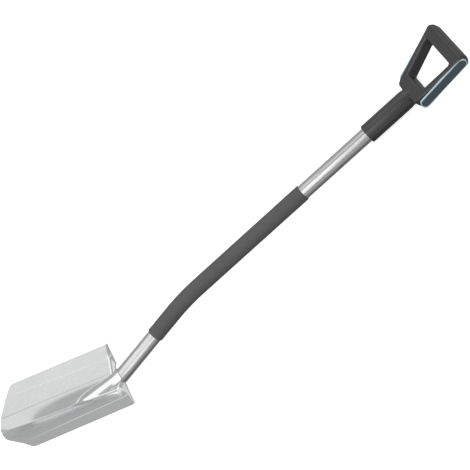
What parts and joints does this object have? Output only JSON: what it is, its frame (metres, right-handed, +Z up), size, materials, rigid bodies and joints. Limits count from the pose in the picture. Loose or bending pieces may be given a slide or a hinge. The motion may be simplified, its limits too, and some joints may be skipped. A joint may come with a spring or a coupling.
{
  "type": "pointed spade",
  "caption": "Pointed spade with a pressed steel blade, a bent tubular shaft with a grip sleeve, and a D grip with coloured side pads.",
  "frame": {"origin": "on the ground under the middle of the spade's length, with the spade lying on its back", "axes": "+X from the blade to the D grip, +Y to the left, +Z up, out of the blade's hollow"},
  "size_m": [1.1522, 0.1756, 0.1344],
  "materials": {
    "blade_steel": "satin",
    "shaft_steel": "satin",
    "weld_steel": "satin",
    "sleeve_plastic": "matt, finely grained",
    "grip_plastic": "satin",
    "screw_steel": "satin",
    "pad_rubber": "matt",
    "rim_plastic": "gloss"
  },
  "bodies": {
    "root": {"blade": "blade_steel", "shaft_tube": "shaft_steel", "seam_weld": "weld_steel", "grip_sleeve": "sleeve_plastic", "handle_body": "grip_plastic", "handle_screw": "screw_steel", "left_pad": "pad_rubber", "right_pad": "pad_rubber", "left_rim": "rim_plastic", "right_rim": "rim_plastic"}
  },
  "joints": []
}
